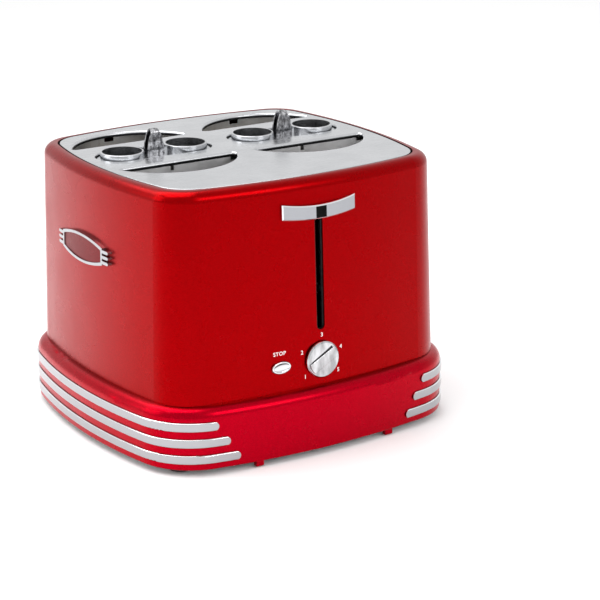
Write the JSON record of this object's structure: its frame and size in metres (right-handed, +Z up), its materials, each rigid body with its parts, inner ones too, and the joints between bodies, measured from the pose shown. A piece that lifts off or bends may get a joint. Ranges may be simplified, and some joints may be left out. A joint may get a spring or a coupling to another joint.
{
  "type": "hot dog toaster",
  "caption": "Boxy countertop toaster for hot dogs and buns: flared base, round-cornered body, lift-out dog baskets between bun slots, side-to-side lever band, dial and stop button.",
  "frame": {"origin": "on the table, in the middle from side to side, and midway from the front of the base to the grip of the crumb tray at the back", "axes": "+X to the right seen from the lever side, +Y to the back, +Z up; the lever and the dial face -Y"},
  "size_m": [0.2872, 0.2746, 0.2308],
  "materials": {
    "shell_paint": "glossy metallic red",
    "skirt_paint": "glossy metallic red",
    "plate_steel": "satin",
    "plain_steel": "galvanised",
    "reflector_steel": "bright",
    "cage_steel": "satin",
    "rod_steel": "ground",
    "spring_steel": "drawn",
    "screw_steel": "zinc",
    "wire_chrome": "plated",
    "chrome": "polished",
    "knob_chrome": "polished",
    "iron": "oiled laminations",
    "coil_copper": "lacquered wire",
    "ribbon": "oxidised",
    "mica": "pressed mica",
    "board": "laminate",
    "seal_rubber": "matt",
    "foot_rubber": "matt",
    "black_plastic": "satin",
    "terminal_plastic": "satin",
    "badge_enamel": "gloss enamel"
  },
  "bodies": {
    "housing": {"badge_panel": "badge_enamel", "badge_rim": "chrome", "base_screws": "screw_steel", "base_skirt": "skirt_paint", "body_shell": "shell_paint", "bottom_plate": "plain_steel", "bun_guards_front": "wire_chrome", "bun_guards_rear": "wire_chrome", "chrome_strip_left_bottom": "chrome", "chrome_strip_left_middle": "chrome", "chrome_strip_left_top": "chrome", "chrome_strip_right_bottom": "chrome", "chrome_strip_right_middle": "chrome", "chrome_strip_right_top": "chrome", "control_board": "board", "cord_gland": "black_plastic", "dial_control": "black_plastic", "front_reflector": "reflector_steel", "guide_rod_left": "rod_steel", "guide_rod_right": "rod_steel", "heater_board_left_front": "mica", "heater_board_left_rear": "mica", "heater_board_right_front": "mica", "heater_board_right_rear": "mica", "heater_ribbon_left_front": "ribbon", "heater_ribbon_left_rear": "ribbon", "heater_ribbon_right_front": "ribbon", "heater_ribbon_right_rear": "ribbon", "left_partition": "reflector_steel", "lift_frame": "plain_steel", "magnet_coil": "coil_copper", "magnet_core": "iron", "rear_reflector": "reflector_steel", "return_spring_left": "spring_steel", "return_spring_right": "spring_steel", "right_partition": "reflector_steel", "rubber_feet": "foot_rubber", "slot_shield": "black_plastic", "stop_switch": "black_plastic", "terminal_block": "terminal_plastic", "top_plate": "plate_steel", "top_seal": "seal_rubber"},
    "carriage": {"lever_handle": "chrome", "lever_arm": "black_plastic", "carriage_bracket": "plain_steel", "armature_plate": "iron", "lift_spine": "plain_steel", "bun_rack_front": "wire_chrome", "bun_rack_rear": "wire_chrome"},
    "dial": {"dial_knob": "knob_chrome", "dial_shaft": "rod_steel"},
    "stop": {"stop_button": "knob_chrome"},
    "basket_left": {"basket_cap_left": "plate_steel", "basket_cage_left": "cage_steel", "basket_handle_left": "chrome"},
    "basket_right": {"basket_cap_right": "plate_steel", "basket_cage_right": "cage_steel", "basket_handle_right": "chrome"},
    "tray": {"crumb_tray": "plain_steel"}
  },
  "joints": [
    {"name": "lever_lift", "type": "slide", "parent": "housing", "child": "carriage", "axis": [0, -0.0308, -0.9995], "range_m": [0, 0.087], "stiffness_N_per_m": 110, "springref_m": -0.045, "deforming": ["return_spring_left", "return_spring_right"]},
    {"name": "dial_turn", "type": "hinge", "parent": "housing", "child": "dial", "pos_m": [0, -0.1342, 0.0728], "axis": [0, 1, 0], "range_deg": [-192, 68]},
    {"name": "stop_press", "type": "slide", "parent": "housing", "child": "stop", "axis": [0, 1, 0], "range_m": [0, 0.0022], "stiffness_N_per_m": 400, "springref_m": -0.003},
    {"name": "basket_lift_left", "type": "slide", "parent": "housing", "child": "basket_left", "axis": [0, 0, 1], "range_m": [0, 0.158]},
    {"name": "basket_lift_right", "type": "slide", "parent": "housing", "child": "basket_right", "axis": [0, 0, 1], "range_m": [0, 0.158]},
    {"name": "tray_pull", "type": "slide", "parent": "housing", "child": "tray", "axis": [0, 1, 0], "range_m": [0, 0.19]}
  ]
}
